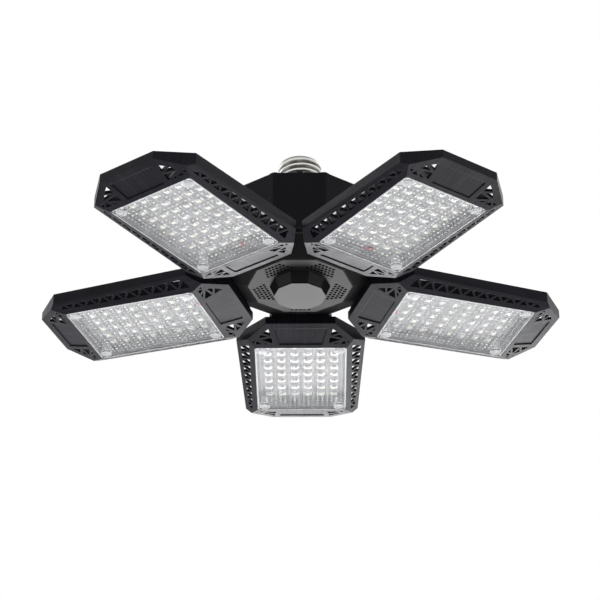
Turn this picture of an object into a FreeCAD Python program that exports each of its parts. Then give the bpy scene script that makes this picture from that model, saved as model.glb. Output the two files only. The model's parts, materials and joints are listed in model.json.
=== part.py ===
"""A deformable garage light: five hinged LED panels around a hub with an E26 screw base.

Millimetres, +Z up. The origin is on the lamp's axis at the foot of the bare thread of the screw base, so
the lamp hangs below it. Heights named H_... are measured up from the plane of the lens faces. A panel is
built with its radius along +X, its width along Y, and is then turned to its place round the hub.
"""
import FreeCAD
import Part
import os
from math import cos, hypot, pi, radians, sin, sqrt, tan

V = FreeCAD.Vector
Z_AXIS = V(0, 0, 1)
ORIGIN = V(0, 0, 0)

# ---- layout -------------------------------------------------------------------------------------------
PANELS = 5
FIRST_AZIMUTH = 90.0            # of panel 1, in degrees; the rest follow anticlockwise seen from above
SECTOR = 360.0 / PANELS
OVER = 1.0                      # how far cutters and overlapping parts of a union reach past a face

# ---- heights above the lens plane ----------------------------------------------------------------------
H_CAP = 2.4                     # face of the centre cap
H_PLATE = 9.1                   # flat underside of the hub
H_SKIRT = 16.5                  # where the flared skirt meets the hinge ring
H_RING = 20.5                   # top of the hinge ring, foot of the driver housing
H_TOP = 57.5                    # top of the driver housing
H_COLLAR = 74.0                 # top of the collar, without its teeth
H_THREAD = 80.0                 # top of the collar's teeth, foot of the bare thread, and the origin
H_BOARD = 30.0                  # underside of the driver board

# ---- panel outline ---------------------------------------------------------------------------------------
HINGE_R = 50.0                  # hinge axes, from the lamp's axis
HINGE_TO_WALL = 13.8            # from a hinge axis in to the panel's inner end wall
HINGE_TO_LENS = 5.9             # and out to the lens opening
LENS_LENGTH = 79.1
SHOULDER_OUT = 0.1              # widest place, out from the inner end of the lens opening
HEEL_OUT = 4.4                  # start of the outer cut corners, out from its outer end
END_OUT = 19.3                  # outer end wall, out from the same
PANEL_GAP = 3.38                # between neighbouring panels at their widest places
SIDE_BAND = 10.85               # from the lens opening to the outline at the widest place
TAPER = 3.3                     # how much less the half width is where the outer cut corners start
INNER_CUT = 17.9                # width of an inner cut corner
OUTER_CUT = 16.9                # width of an outer one
PANEL_BACK = 10.2               # height of the outer wall's top edge
END_SLOPE = 0.275               # rise of the end bands per millimetre away from the lens
SIDE_SLOPE = 0.48               # rise of the side bands

# ---- lattice frame -------------------------------------------------------------------------------------
WALL = 1.6                      # outer wall
BAND = 1.8                      # thickness of the sloped bands, measured upright
LIP = 1.2                       # thickness of the lip under the lens flange
FLANGE = 1.0                    # how far the module well is wider than the lens opening, each side
WELL_WALL = 1.2                 # wall of the module well
OPENING_RADIUS = 2.5            # corners of the lens opening
TRUSS_PAIRS = 10                # pairs of triangular openings along a side band
STRUT = 1.3                     # width of the lattice's struts
RIM_STRIP = 1.6                 # solid strip between the outer edge and the openings
WELL_STRIP = 0.4                # solid strip between the module well and the openings
NODE_ALONG = 0.62               # node of a corner's fan: share of the way from the rim to the lens corner
NODE_TO_HIP = 0.36              # and from there to the hip
PLATE_NODE = 0.52               # of the plate's edge, from the rim to its foot
LENS_NODE = 0.5                 # of the lens edge, from the plate to the lens corner
RIM_NODE = 0.55                 # of the rim, from the hip to the plate
INNER_HIP = 0.62                # where the hip meets an inner cut edge, as a share of its length
OUTER_HIP = 0.8                 # and an outer one
PLATE_FOOT_HALF = 15.0          # half width of the end plates where they meet the lens
PLATE_RIM_INSET = 1.2           # how much less than the end wall's half width they have at the rim
PLATE_BORDER = 2.6              # border round the sunk field of an end plate
FIELD_DEPTH = 0.6               # how deep that field is sunk
PAD = 2.0                       # thickness of the pad that carries the hinge arm

# ---- light module --------------------------------------------------------------------------------------
FIT = 0.2                       # clearance round the pieces that drop into the well
LENS_FACE = 1.5
LENS_SKIRT = 1.0
POST_R = 3.0
POST_BITE = 3.0                 # how far the screws reach into the posts
POST_INSET = 4.6                # of the posts' axes from the edges of the lens opening
LENS_DEPTH = 6.5                # from the lens face to the LED board
LED_BOARD = 1.2
LED_ROWS = 8                    # along the panel
LED_COLUMNS = 6                 # across it
LED_END_MARGIN = 10.15          # from the ends of the lens opening to the first and last row
LED_SIDE_MARGIN = 7.5           # from its sides to the outer columns
LED_LENGTH = 2.8
LED_WIDTH = 3.5
LED_HEIGHT = 0.8
LEAD_EXIT = 2.6                 # the leads' slot, from the inner edge of the lens and off the middle
LEAD_SLOT = 1.6                 # half width of the slot
LEAD_STUB = (3.0, 4.0)          # length and width of the lead's run on the lit side
SINK_BASE = 1.5
SINK_FINS = 9
FIN_HEIGHT = 3.0
FIN_WIDTH = 1.2
FIN_SIDE_MARGIN = 5.55          # from the sides of the well to the outer fins
FIN_END_GAP = 7.0               # bare strip of the heat sink beyond the fins' ends, which takes the screws

# ---- hinge ---------------------------------------------------------------------------------------------
HINGE_H = 17.0                  # height of the hinge axes
KNUCKLE_R = 3.5
KNUCKLE_HALF = 10.9
EAR_GAP = 0.3                   # between an ear and the knuckle
EAR = 5.8                       # thickness of an ear
PIN_R = 2.0
PIN_RUN = 0.05                  # radial clearance of the pin
PIN_HEAD = 1.6                  # thickness of the pin's heads
PIN_HEAD_R = 3.1
ARM_BASE = 1.5                  # thickness of the arm's foot
ARM_INSET = 0.4                 # of the arm's foot from the panel's inner end wall
ARM_OVERHANG = 4.0              # how far the foot reaches out past the hinge axis

# ---- hub -----------------------------------------------------------------------------------------------
HINGE_OUT = 4.0                 # of the hinge axes beyond the facets of the housing and the hinge ring
HUB_WALL = 2.0
EDGE_R = 1.0                    # rounding of the housing's upright edges
STRIP_WIDTH = 2.4               # raised strip along each upright edge of the housing
FACET_SINK = 0.4                # how far the facets lie back between those strips
RING_WIDTH = 8.0
BEAD_PROUD = 1.0                # of the half-round bead on the ring between the panels
SKIRT_STEP = 0.5                # how far the bottom cover's rim lies back from the facets
PLATE_FACET = 28.7              # facet distance of its flat underside
CAP_FACET = 16.75               # of the centre cap's foot
CAP_FACE_FACET = 14.0           # and of its face
CAP_WALL = 1.6
CAP_LIP = 1.0                   # height of the lip round the cap's face
CAP_LIP_PROUD = 0.35
SPIGOT_FACET = 13.0             # of the spigot that holds the cap
SPIGOT_LENGTH = 3.4
VENT_ROWS = (5, 6, 7, 8)        # holes in each row of a vent group, from the edge inwards
VENT_SIZE = 1.5
VENT_PITCH = 2.4
VENT_ROW_PITCH = 2.3
VENT_EDGE = 2.5                 # from the edge of the flat to the first row
SLOT_LENGTH = 12.0              # cooling slots in the top of the housing
SLOT_WIDTH = 2.0
SLOT_IN = 15.0                  # their middle, in from the facets
SLOTS_PER_SIDE = 3
SLOT_PITCH = 4.5

# ---- screws --------------------------------------------------------------------------------------------
SCREW_PLAY = 0.15               # radial gap round a screw's shank
SMALL_SHANK_R = 1.25            # of the screws in a panel and on the driver board
SMALL_HEAD_R = 2.4
SMALL_HEAD = 1.4
BIG_SHANK_R = 1.5               # of the screws that close the hub
BIG_HEAD_R = 2.7
BIG_HEAD = 1.3
HUB_SCREW_IN = 5.0              # where those sit, in from the facets
HUB_SCREW_SEAT = 15.0           # height of their seats
PILOT_SPARE = 2.0               # depth of the pilot holes beyond the screws' tips
BOSS_R = 3.5
BOSS_SPACE = 0.5                # between the bosses and the driver board
ARM_SCREW_IN = 5.3              # of the arm's screws from the panel's inner end wall
ARM_SCREW_INSET = 3.5           # and from the ears' outer faces

# ---- screw base ----------------------------------------------------------------------------------------
SHELL_R = 13.1                  # crest radius of the E26 thread
SHELL_LENGTH = 11.0             # of the bare thread
SHELL_WALL = 0.4
SHELL_NECK_R = 12.75            # below the thread, between the teeth and in the collar
SHELL_FOOT = 10.0               # how far that neck reaches down
SHELL_CONE = 2.5
INSULATOR_HOLE_R = 8.3
INSULATOR_R = 9.3
INSULATOR_HEIGHT = 3.4
INSULATOR_RIM = 0.8             # height of its upright edge
INSULATOR_STEM = 2.0            # how far its stem reaches into the shell
CONTACT_R = 4.6
CONTACT_HEIGHT = 2.1
CONTACT_SHOULDER = (0.92, 0.6)  # shares of the contact's radius and height at its shoulder
CONTACT_FACE = 0.55             # share of its radius at its flat face
RIVET_R = 1.5
RIVET_LENGTH = 6.0
COLLAR_FOOT_R = 20.0
COLLAR_FLANGE = 2.0
COLLAR_BORE_R = 11.5
TEETH = 8
TOOTH_WIDTH = 3.7
TOOTH_R = 15.0

# ---- driver --------------------------------------------------------------------------------------------
DRIVER_R = 33.0
DRIVER_BOARD = 1.6
STANDOFF_R = 3.0
STANDOFF_AT = 27.0
DRIVER_SCREW = 4.0              # how far the board's screws reach into the standoffs
STANDOFF_PILOT = 6.0
CORE = (-20.0, -2.0, -9.0, 9.0, 15.0)   # transformer core: x from and to, y from and to, height
CORE_LEG = 3.0                  # thickness of the core's legs and yokes
COIL_PROUD = 2.0                # how far the winding stands out of the core
# x, y, radius and height of each capacitor
CAPACITORS = [(10.0, 12.0, 5.0, 16.0), (12.0, -10.0, 4.0, 12.0), (21.0, 0.0, 4.0, 12.0)]
SOCKET_R = 24.5                 # middle of the output sockets, from the axis
SOCKET_LENGTH = 7.0
SOCKET_WIDTH = 7.0
SOCKET_HEIGHT = 5.0
SOCKET_WALL = 1.1
SOCKET_BACK = 2.2               # thickness of a socket's back
SOCKET_TURN = 14.0              # the sockets stand this many degrees past their panels
LEAD_R = 0.6
LEAD_BEND = 0.9                 # radius of the leads' bends
LIVE_AT = (4.0, 2.0)            # where the two input leads meet the driver board
NEUTRAL_AT = (4.0, -3.0)
LIVE_FALL = 8.0                 # fall of the live lead on its way out from the axis
LEAD_RISE = 24.0                # height over the board where the input leads turn to the base

INNER_R = HINGE_R - HINGE_TO_WALL
LENS_R0 = HINGE_R + HINGE_TO_LENS
LENS_R1 = LENS_R0 + LENS_LENGTH
SHOULDER_R = LENS_R0 + SHOULDER_OUT
HEEL_R = LENS_R1 + HEEL_OUT
OUTER_R = LENS_R1 + END_OUT
SHOULDER_HALF = SHOULDER_R * tan(pi / PANELS) - PANEL_GAP / (2 * cos(pi / PANELS))
LENS_HALF = SHOULDER_HALF - SIDE_BAND
INNER_HALF = SHOULDER_HALF - INNER_CUT
HEEL_HALF = SHOULDER_HALF - TAPER
OUTER_HALF = HEEL_HALF - OUTER_CUT
OUTLINE = [(INNER_R, INNER_HALF), (SHOULDER_R, SHOULDER_HALF), (HEEL_R, HEEL_HALF), (OUTER_R, OUTER_HALF)]
LEAD_EXIT_R = LENS_R0 + LEAD_EXIT
WELL_R0 = LENS_R0 - FLANGE
WELL_LENGTH = LENS_LENGTH + 2 * FLANGE
WELL_HALF = LENS_HALF + FLANGE
WELL_TOP = LENS_DEPTH + LED_BOARD
LED_PITCH_ROW = (LENS_LENGTH - 2 * LED_END_MARGIN) / (LED_ROWS - 1)
LED_PITCH_COLUMN = 2 * (LENS_HALF - LED_SIDE_MARGIN) / (LED_COLUMNS - 1)
SINK_TOP = WELL_TOP + SINK_BASE
FIN_PITCH = 2 * (WELL_HALF - FIN_SIDE_MARGIN) / (SINK_FINS - 1)
EAR_INNER = KNUCKLE_HALF + EAR_GAP
EAR_OUTER = EAR_INNER + EAR
ARM_SCREW_R = INNER_R + ARM_SCREW_IN
ARM_SCREW_HALF = EAR_OUTER - ARM_SCREW_INSET
HUB_FACET = HINGE_R - HINGE_OUT
SKIRT_FACET = HUB_FACET - SKIRT_STEP
HUB_SCREW_R = HUB_FACET - HUB_SCREW_IN
BOARD_TOP = H_BOARD + DRIVER_BOARD
BOSS_TOP = H_BOARD - BOSS_SPACE
HUB_SCREW_TIP = BOSS_TOP - 2 * PILOT_SPARE


# ---- helpers -------------------------------------------------------------------------------------------
def prism(points, low, high):
    """An upright prism over a polygon of (x, y) points."""
    ring = [V(x, y, low) for x, y in points]
    return Part.Face(Part.makePolygon(ring + ring[:1])).extrude(V(0, 0, high - low))


def block(x0, x1, y0, y1, z0, z1):
    return Part.makeBox(x1 - x0, y1 - y0, z1 - z0, V(x0, y0, z0))


def post(x, y, radius, low, high):
    return Part.makeCylinder(radius, high - low, V(x, y, low), Z_AXIS)


def revolve(profile):
    """A full turn about Z of a closed outline of (radius, height) points."""
    ring = [V(r, 0, h) for r, h in profile]
    return Part.Face(Part.makePolygon(ring + ring[:1])).revolve(ORIGIN, Z_AXIS, 360)


def along_y(profile, half):
    """A prism across the panel over a closed outline of (radius, height) points."""
    ring = [V(r, -half, h) for r, h in profile]
    return Part.Face(Part.makePolygon(ring + ring[:1])).extrude(V(0, 2 * half, 0))


def along_x(profile, start, end):
    """A prism along the panel over a closed outline of (y, height) points."""
    ring = [V(start, y, h) for y, h in profile]
    return Part.Face(Part.makePolygon(ring + ring[:1])).extrude(V(end - start, 0, 0))


def barrel(radius, start, end):
    """A cylinder on the hinge axis from one y to another."""
    return Part.makeCylinder(radius, end - start, V(HINGE_R, start, HINGE_H), V(0, 1, 0))


def union(shapes):
    whole = shapes[0].fuse(shapes[1:]) if len(shapes) > 1 else shapes[0]
    return whole.removeSplitter()


def upright_edges(shape):
    return [e for e in shape.Edges if abs(e.Vertexes[0].Z - e.Vertexes[-1].Z) > e.Length / 2]


def turned(shape, azimuth):
    copy = shape.copy()
    copy.rotate(ORIGIN, Z_AXIS, azimuth)
    return copy


def azimuths(offset=0.0):
    return [FIRST_AZIMUTH + offset + SECTOR * k for k in range(PANELS)]


def inset(points, gap):
    """The convex polygon of (x, y) points, drawn in by a gap on every side."""
    area = sum(a[0] * b[1] - b[0] * a[1] for a, b in zip(points, points[1:] + points[:1]))
    loop = points if area > 0 else points[::-1]
    lines = []
    for (ax, ay), (bx, by) in zip(loop, loop[1:] + loop[:1]):
        length = hypot(bx - ax, by - ay)
        nx, ny = (ay - by) / length, (bx - ax) / length
        lines.append((nx, ny, nx * ax + ny * ay + gap))
    corners = []
    for (a, b, c), (d, e, f) in zip(lines[-1:] + lines[:-1], lines):
        det = a * e - b * d
        corners.append(((c * e - b * f) / det, (a * f - c * d) / det))
    return corners


def between(a, b, share):
    return (a[0] + (b[0] - a[0]) * share, a[1] + (b[1] - a[1]) * share)


def mirrored(points):
    return [(x, -y) for x, y in points]


def decagon(facet):
    """A regular decagon whose facets face the panels and the gaps between them."""
    reach = facet / cos(pi / (2 * PANELS))
    steps = [radians(FIRST_AZIMUTH + SECTOR / 4 + SECTOR / 2 * k) for k in range(2 * PANELS)]
    return [(reach * cos(a), reach * sin(a)) for a in steps]


def loft(low_points, low, high_points, high):
    """A straight-sided solid between two polygons with matching corners."""
    rings = []
    for points, level in ((low_points, low), (high_points, high)):
        ring = [V(x, y, level) for x, y in points]
        rings.append(Part.makePolygon(ring + ring[:1]))
    return Part.makeLoft(rings, True, True)


def screw(x, y, seat, shank_r, shank, head_r, head, upright=1):
    """A pan-head screw: the head stands on its seat, and the shank goes the other way."""
    way = V(0, 0, upright)
    top = Part.makeCylinder(head_r, head, V(x, y, seat), way)
    return top.fuse(Part.makeCylinder(shank_r, shank, V(x, y, seat), way * -1)).removeSplitter()


def tube(points, radius, bend):
    """A round lead along straight runs joined by tangent arcs."""
    corners = [V(*p) for p in points]
    edges = []
    start = corners[0]
    for before, corner, after in zip(corners, corners[1:], corners[2:]):
        way_in = (corner - before).normalize()
        way_out = (after - corner).normalize()
        turn = way_in.getAngle(way_out)
        cut = bend * tan(turn / 2)
        first = corner - way_in * cut
        last = corner + way_out * cut
        middle = (way_out - way_in).normalize()
        apex = corner + middle * (bend / cos(turn / 2) - bend)
        edges.append(Part.LineSegment(start, first).toShape())
        edges.append(Part.Arc(first, apex, last).toShape())
        start = last
    edges.append(Part.LineSegment(start, corners[-1]).toShape())
    circle = Part.Circle(corners[0], corners[1] - corners[0], radius).toShape()
    return Part.Wire(edges).makePipeShell([Part.Wire([circle])], True, False)


# ---- lattice frame of a panel --------------------------------------------------------------------------
def end_rise(radius):
    """Height of the end bands' underside at a radius."""
    return END_SLOPE * max(LENS_R0 - radius, radius - LENS_R1, 0.0)


def hipped_tray(wall, lift, top):
    """The solid inside the panel's outline and above its sloped bands, drawn in by a wall and a lift."""
    outline = OUTLINE + mirrored(OUTLINE)[::-1]
    if wall:
        outline = inset(outline, wall)
    reach = SHOULDER_HALF + BAND
    ends = [(INNER_R, end_rise(INNER_R) + lift), (LENS_R0, lift), (LENS_R1, lift),
            (OUTER_R, end_rise(OUTER_R) + lift), (OUTER_R, top), (INNER_R, top)]
    side = SIDE_SLOPE * (reach - LENS_HALF) + lift
    sides = [(-reach, side), (-LENS_HALF, lift), (LENS_HALF, lift), (reach, side),
             (reach, top), (-reach, top)]
    tray = prism(outline, 0, top)
    return tray.common(along_y(ends, reach)).common(along_x(sides, INNER_R, OUTER_R))


def plate_edge(radius):
    """Half width of the closed end plate at a radius, at the inner or the outer end."""
    if radius <= LENS_R0:
        share, rim_half = (LENS_R0 - radius) / (LENS_R0 - INNER_R), INNER_HALF - PLATE_RIM_INSET
    else:
        share, rim_half = (radius - LENS_R1) / (OUTER_R - LENS_R1), OUTER_HALF - PLATE_RIM_INSET
    return PLATE_FOOT_HALF + (rim_half - PLATE_FOOT_HALF) * share


def side_edge(radius):
    """Half width of the outline at a radius between shoulder and heel."""
    share = (radius - SHOULDER_R) / (HEEL_R - SHOULDER_R)
    return SHOULDER_HALF + (HEEL_HALF - SHOULDER_HALF) * share


def corner_lattice(end, foot, edge, hip):
    """Seven triangles fanned round a node, in a corner between an end plate, the lens and the cut edge."""
    node = between(between(end, edge, NODE_ALONG), hip, NODE_TO_HIP)
    plate_middle = between(end, foot, PLATE_NODE)
    lens_middle = between(foot, edge, LENS_NODE)
    rim_middle = between(hip, end, RIM_NODE)
    return [(end, plate_middle, rim_middle), (plate_middle, node, rim_middle), (plate_middle, foot, node),
            (foot, lens_middle, node), (lens_middle, edge, node),
            (edge, hip, node), (hip, rim_middle, node)]


def lattice_openings():
    """Every triangular opening of the bands on the +Y half of a frame."""
    well_side = WELL_HALF + WELL_WALL + WELL_STRIP
    triangles = []
    start = SHOULDER_R - STRUT
    pitch = (HEEL_R - start - STRUT) / TRUSS_PAIRS
    for pair in range(TRUSS_PAIRS):
        a = start + pitch * pair
        well = [(a + pitch * share, well_side) for share in (0.0, 1.0)]
        rim = [(a + pitch * share, side_edge(a + pitch * share) - RIM_STRIP) for share in (0.5, 1.5)]
        triangles.append((well[0], well[1], rim[0]))
        if pair < TRUSS_PAIRS - 1:
            triangles.append((well[1], rim[1], rim[0]))
    ends = [(INNER_R, WELL_R0, between(OUTLINE[0], OUTLINE[1], INNER_HIP), 1),
            (OUTER_R, WELL_R0 + WELL_LENGTH, between(OUTLINE[3], OUTLINE[2], OUTER_HIP), -1)]
    for wall, well, hip, way in ends:
        rim = wall + way * (WALL + RIM_STRIP)
        foot = well - way * (WELL_WALL + WELL_STRIP)
        triangles += corner_lattice((rim, plate_edge(rim)), (foot, plate_edge(foot)), (foot, LENS_HALF),
                                    (hip[0] + way * RIM_STRIP, hip[1] - RIM_STRIP))
    return [inset(list(t), STRUT / 2) for t in triangles]


def end_field(rim, foot):
    """The sunk field of an end plate, as a cutter."""
    low, high = min(rim, foot), max(rim, foot)
    side = [(rim, plate_edge(rim)), (foot, plate_edge(foot))]
    corners = side + mirrored(side)[::-1]
    slab = [(low, end_rise(low) - OVER), (high, end_rise(high) - OVER),
            (high, end_rise(high) + FIELD_DEPTH), (low, end_rise(low) + FIELD_DEPTH)]
    return prism(inset(corners, PLATE_BORDER), -OVER, PANEL_BACK).common(along_y(slab, SHOULDER_HALF))


def lens_opening(gap, low, high):
    """The lens opening with rounded corners, drawn in by a gap."""
    shape = block(LENS_R0 + gap, LENS_R1 - gap, gap - LENS_HALF, LENS_HALF - gap, low, high)
    return shape.makeFillet(OPENING_RADIUS - gap, upright_edges(shape))


def well_box(gap, low, high):
    """A block that fills the module well, drawn in by a gap."""
    return block(WELL_R0 + gap, WELL_R0 + WELL_LENGTH - gap, gap - WELL_HALF, WELL_HALF - gap, low, high)


def frame():
    tray = hipped_tray(0, 0, PANEL_BACK).cut(hipped_tray(WALL, BAND, PANEL_BACK + OVER))
    cutters = []
    for triangle in lattice_openings():
        cutters.append(prism(triangle, -OVER, PANEL_BACK + OVER))
        cutters.append(prism(mirrored(triangle), -OVER, PANEL_BACK + OVER))
    cutters.append(end_field(INNER_R + WALL, LENS_R0))
    cutters.append(end_field(OUTER_R - WALL, LENS_R1))
    bands = tray.cut(cutters)
    well = well_box(-WELL_WALL, 0, WELL_TOP).common(hipped_tray(0, 0, PANEL_BACK))
    pad_r0, pad_r1 = INNER_R + WALL / 2, WELL_R0 - WELL_WALL / 2
    pad = block(pad_r0, pad_r1, -EAR_OUTER, EAR_OUTER, PANEL_BACK - PAD, PANEL_BACK)
    flanks = [block(pad_r0, pad_r1, y, y + WALL, BAND / 2, PANEL_BACK - PAD / 2)
              for y in (-EAR_OUTER, EAR_OUTER - WALL)]
    flanks = [f.common(hipped_tray(0, 0, PANEL_BACK)) for f in flanks]
    whole = union([bands, well, pad] + flanks)
    sink_room = well_box(-WELL_WALL - FIT, WELL_TOP, PANEL_BACK + OVER)
    whole = whole.cut([well_box(0, LIP, PANEL_BACK + OVER), lens_opening(0, -OVER, LIP + OVER), sink_room])
    holes = [post(ARM_SCREW_R, y, SMALL_SHANK_R + SCREW_PLAY, PANEL_BACK - PAD - OVER, PANEL_BACK + OVER)
             for y in (-ARM_SCREW_HALF, ARM_SCREW_HALF)]
    return whole.cut(holes)


# ---- light module --------------------------------------------------------------------------------------
def post_places():
    r0, r1, y = LENS_R0 + POST_INSET, LENS_R1 - POST_INSET, LENS_HALF - POST_INSET
    return [(r0, -y), (r0, y), (r1, -y), (r1, y)]


def lens():
    face = lens_opening(FIT, 0, LENS_FACE)
    tray = well_box(FIT, LIP, LENS_DEPTH).cut(well_box(FIT + LENS_SKIRT, LENS_FACE, LENS_DEPTH + OVER))
    posts = [post(x, y, POST_R, LENS_FACE / 2, LENS_DEPTH) for x, y in post_places()]
    whole = union([face, tray] + posts)
    pilot = SMALL_SHANK_R + SCREW_PLAY
    foot = LENS_DEPTH - POST_BITE - FIT
    return whole.cut([post(x, y, pilot, foot, LENS_DEPTH + OVER) for x, y in post_places()])


def lead_slot(low, high):
    return block(LEAD_EXIT_R - LEAD_SLOT, LEAD_EXIT_R + LEAD_SLOT, -LEAD_EXIT - LEAD_SLOT,
                 LEAD_EXIT + LEAD_SLOT, low, high)


def led_board():
    board = well_box(FIT, LENS_DEPTH, WELL_TOP)
    holes = [post(x, y, SMALL_SHANK_R + SCREW_PLAY, 0, PANEL_BACK) for x, y in post_places()]
    return board.cut(holes + [lead_slot(0, PANEL_BACK)])


def leds():
    middle = LENS_R0 + LENS_LENGTH / 2
    chips = []
    for row in range(LED_ROWS):
        for column in range(LED_COLUMNS):
            x = middle + (row - (LED_ROWS - 1) / 2) * LED_PITCH_ROW
            y = (column - (LED_COLUMNS - 1) / 2) * LED_PITCH_COLUMN
            chips.append(block(x - LED_LENGTH / 2, x + LED_LENGTH / 2, y - LED_WIDTH / 2, y + LED_WIDTH / 2,
                               LENS_DEPTH - LED_HEIGHT, LENS_DEPTH))
    return Part.makeCompound(chips)


def heat_sink():
    base = well_box(-WELL_WALL, WELL_TOP, SINK_TOP)
    fins = []
    for k in range(SINK_FINS):
        y = (k - (SINK_FINS - 1) / 2) * FIN_PITCH
        fins.append(block(WELL_R0 + FIN_END_GAP, WELL_R0 + WELL_LENGTH - FIN_END_GAP, y - FIN_WIDTH / 2,
                          y + FIN_WIDTH / 2, SINK_TOP, SINK_TOP + FIN_HEIGHT))
    room = [post(x, y, SMALL_HEAD_R + SCREW_PLAY, 0, PANEL_BACK + FIN_HEIGHT) for x, y in post_places()]
    holes = [post(x, y, SMALL_SHANK_R + SCREW_PLAY, 0, SINK_TOP + OVER) for x, y in post_places()]
    base = base.cut(holes + [lead_slot(0, SINK_TOP + OVER)])
    return union([base] + [fin.cut(room) for fin in fins])


def panel_screws():
    shank = SINK_BASE + LED_BOARD + POST_BITE
    module = [screw(x, y, SINK_TOP, SMALL_SHANK_R, shank, SMALL_HEAD_R, SMALL_HEAD)
              for x, y in post_places()]
    arm = [screw(ARM_SCREW_R, y, PANEL_BACK + ARM_BASE, SMALL_SHANK_R, ARM_BASE + PAD,
                 SMALL_HEAD_R, SMALL_HEAD) for y in (-ARM_SCREW_HALF, ARM_SCREW_HALF)]
    return Part.makeCompound(module + arm)


def led_leads():
    """Two leads from the board up through the slot and over to the arm; one starts on the lit side."""
    over = PANEL_BACK + ARM_BASE / 2
    middle = LENS_DEPTH + LED_BOARD / 2
    lit = LENS_DEPTH - LEAD_R
    starts = [(1, (LEAD_EXIT_R + LEAD_STUB[0], LEAD_EXIT + LEAD_STUB[1], lit), lit),
              (-1, (LEAD_EXIT_R + LEAD_SLOT, -LEAD_EXIT, middle), middle)]
    leads = []
    for side, start, level in starts:
        y = side * LEAD_EXIT
        points = [start, (LEAD_EXIT_R, y, level), (LEAD_EXIT_R, y, over), (HINGE_R + ARM_OVERHANG, y, over)]
        leads.append(tube(points, LEAD_R, LEAD_BEND))
    return Part.makeCompound(leads)


# ---- hinge ---------------------------------------------------------------------------------------------
def hinge_arm():
    """A foot on the frame's pad with two gusseted ears that take the pin."""
    top = PANEL_BACK + ARM_BASE
    outer = HINGE_R + ARM_OVERHANG
    foot = block(INNER_R + ARM_INSET, outer, -EAR_OUTER, EAR_OUTER, PANEL_BACK, top)
    ears = []
    for start in (-EAR_OUTER, EAR_INNER):
        leg = [(HINGE_R - KNUCKLE_R, PANEL_BACK), (outer, PANEL_BACK), (outer, top),
               (HINGE_R + KNUCKLE_R, HINGE_H), (HINGE_R - KNUCKLE_R, HINGE_H)]
        ring = [V(r, start, h) for r, h in leg]
        web = Part.Face(Part.makePolygon(ring + ring[:1])).extrude(V(0, EAR, 0))
        ears += [web, barrel(KNUCKLE_R, start, start + EAR)]
    holes = [barrel(PIN_R + PIN_RUN, -EAR_OUTER - OVER, EAR_OUTER + OVER)]
    holes += [post(ARM_SCREW_R, y, SMALL_SHANK_R + SCREW_PLAY, PANEL_BACK - OVER, top + OVER)
              for y in (-ARM_SCREW_HALF, ARM_SCREW_HALF)]
    return union([foot] + ears).cut(holes)


def hinge_pins():
    inner, outer = EAR_OUTER + PIN_RUN, EAR_OUTER + PIN_RUN + PIN_HEAD
    heads = [barrel(PIN_HEAD_R, -outer, -inner), barrel(PIN_HEAD_R, inner, outer)]
    pin = union([barrel(PIN_R, -outer, outer)] + heads)
    return Part.makeCompound([turned(pin, azimuth) for azimuth in azimuths()])


def hinge_ring():
    inside = prism(decagon(HUB_FACET - RING_WIDTH), H_SKIRT - OVER, H_RING + OVER)
    ring = prism(decagon(HUB_FACET), H_SKIRT, H_RING).cut(inside)
    extras = []
    bead_r = (H_RING - H_SKIRT) / 2
    bead_half = HUB_FACET * tan(pi / (2 * PANELS)) - STRIP_WIDTH
    knuckle = barrel(KNUCKLE_R, -KNUCKLE_HALF, KNUCKLE_HALF)
    web = block(HUB_FACET - RING_WIDTH / 2, HINGE_R, -KNUCKLE_HALF, KNUCKLE_HALF, H_SKIRT, H_RING)
    for azimuth in azimuths():
        extras += [turned(knuckle, azimuth), turned(web, azimuth)]
    bead_at = V(HUB_FACET + BEAD_PROUD - bead_r, -bead_half, H_SKIRT + bead_r)
    bead = Part.makeCylinder(bead_r, 2 * bead_half, bead_at, V(0, 1, 0))
    extras += [turned(bead, azimuth) for azimuth in azimuths(SECTOR / 2)]
    whole = union([ring] + extras)
    bore = barrel(PIN_R + PIN_RUN, -KNUCKLE_HALF - OVER, KNUCKLE_HALF + OVER)
    hole = post(HUB_SCREW_R, 0, BIG_SHANK_R + SCREW_PLAY, H_SKIRT - OVER, H_RING + OVER)
    return whole.cut([turned(cutter, azimuth) for cutter in (bore, hole) for azimuth in azimuths()])


# ---- hub -----------------------------------------------------------------------------------------------
def vent_group():
    """The vent holes of the side that faces along +X, as cutters."""
    holes = []
    for row, count in enumerate(VENT_ROWS):
        x = PLATE_FACET - VENT_EDGE - VENT_ROW_PITCH * row
        for k in range(count):
            y = (k - (count - 1) / 2) * VENT_PITCH
            holes.append(block(x - VENT_SIZE / 2, x + VENT_SIZE / 2, y - VENT_SIZE / 2, y + VENT_SIZE / 2,
                               H_PLATE - OVER, H_PLATE + HUB_WALL + OVER))
    return Part.makeCompound(holes)


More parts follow.
